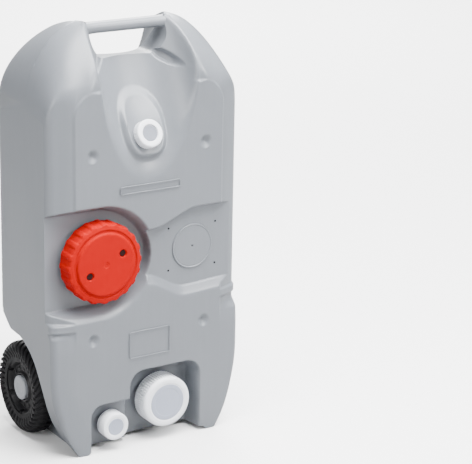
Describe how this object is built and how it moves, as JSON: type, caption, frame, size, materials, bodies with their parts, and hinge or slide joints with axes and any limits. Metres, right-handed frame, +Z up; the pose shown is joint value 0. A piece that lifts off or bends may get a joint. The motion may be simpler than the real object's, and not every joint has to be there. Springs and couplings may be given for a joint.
{
  "type": "portable waste tote",
  "caption": "Tall wheeled plastic tank for waste water, with a carrying handle, screw caps, front feet and a rear pair of wheels.",
  "frame": {"origin": "on the ground, under the middle of the whole object's bounding box", "axes": "+Z up along the tank, the front with the caps faces -Y, +X to the right as seen facing the front"},
  "size_m": [0.384, 0.261, 0.7679],
  "materials": {
    "tank": "mid grey polyethylene with a fine satin grain",
    "inlet_cap": "signal red, satin gloss",
    "white_cap": "white, satin",
    "seal": "dark grey rubber",
    "steel": "zinc plated",
    "wheel": "black, satin",
    "tyre": "black, dull",
    "hub_cap": "light grey, satin",
    "bush": "natural nylon"
  },
  "bodies": {
    "tank": {"tank_shell": "tank", "axle": "steel", "left_wheel_spacer": "bush", "left_wheel_washer": "steel", "left_wheel_axle_clip": "steel", "right_wheel_spacer": "bush", "right_wheel_washer": "steel", "right_wheel_axle_clip": "steel"},
    "inlet_seal": {"inlet_seal": "seal"},
    "inlet_cap": {"inlet_cap": "inlet_cap"},
    "drain_seal": {"drain_seal": "seal"},
    "drain_cap": {"drain_cap": "white_cap"},
    "outlet_seal": {"outlet_seal": "seal"},
    "outlet_cap": {"outlet_cap": "white_cap"},
    "vent_seal": {"vent_seal": "seal"},
    "vent_cap": {"vent_cap": "white_cap"},
    "left_wheel": {"left_wheel_rim": "wheel", "left_wheel_tyre": "tyre", "left_wheel_hub_cap": "hub_cap", "left_wheel_inner_bush": "bush", "left_wheel_outer_bush": "bush"},
    "right_wheel": {"right_wheel_rim": "wheel", "right_wheel_tyre": "tyre", "right_wheel_hub_cap": "hub_cap", "right_wheel_inner_bush": "bush", "right_wheel_outer_bush": "bush"}
  },
  "joints": [
    {"name": "inlet_cap_lift", "type": "slide", "parent": "tank", "child": "inlet_seal", "axis": [0, -1, 0], "range_m": [0, 0.0266]},
    {"name": "inlet_cap_turn", "type": "hinge", "parent": "inlet_seal", "child": "inlet_cap", "pos_m": [-0.094, -0.0845, 0.357], "axis": [0, -1, 0], "range_deg": [0, 1188]},
    {"name": "drain_cap_lift", "type": "slide", "parent": "tank", "child": "drain_seal", "axis": [0, -1, 0], "range_m": [0, 0.0298]},
    {"name": "drain_cap_turn", "type": "hinge", "parent": "drain_seal", "child": "drain_cap", "pos_m": [0.038, -0.0745, 0.0705], "axis": [0, -1, 0], "range_deg": [0, 1332]},
    {"name": "outlet_cap_lift", "type": "slide", "parent": "tank", "child": "outlet_seal", "axis": [0, -1, 0], "range_m": [0, 0.02]},
    {"name": "outlet_cap_turn", "type": "hinge", "parent": "outlet_seal", "child": "outlet_cap", "pos_m": [-0.0715, -0.0915, 0.0468], "axis": [0, -1, 0], "range_deg": [0, 1188]},
    {"name": "vent_cap_lift", "type": "slide", "parent": "tank", "child": "vent_seal", "axis": [0, -0.9135, 0.4067], "range_m": [0, 0.0176]},
    {"name": "vent_cap_turn", "type": "hinge", "parent": "vent_seal", "child": "vent_cap", "pos_m": [0, -0.0895, 0.5675], "axis": [0, -0.9135, 0.4067], "range_deg": [0, 1044]},
    {"name": "left_wheel_spin", "type": "hinge", "parent": "tank", "child": "left_wheel", "pos_m": [-0.161, 0.0445, 0.086], "axis": [1, 0, 0], "continuous": true},
    {"name": "right_wheel_spin", "type": "hinge", "parent": "tank", "child": "right_wheel", "pos_m": [0.161, 0.0445, 0.086], "axis": [1, 0, 0], "continuous": true}
  ],
  "couplings": [
    {"joint": "inlet_cap_lift", "follows": "inlet_cap_turn", "m_per_rad": 0.0012732},
    {"joint": "drain_cap_lift", "follows": "drain_cap_turn", "m_per_rad": 0.0012732},
    {"joint": "outlet_cap_lift", "follows": "outlet_cap_turn", "m_per_rad": 0.00095493},
    {"joint": "vent_cap_lift", "follows": "vent_cap_turn", "m_per_rad": 0.00095493}
  ]
}
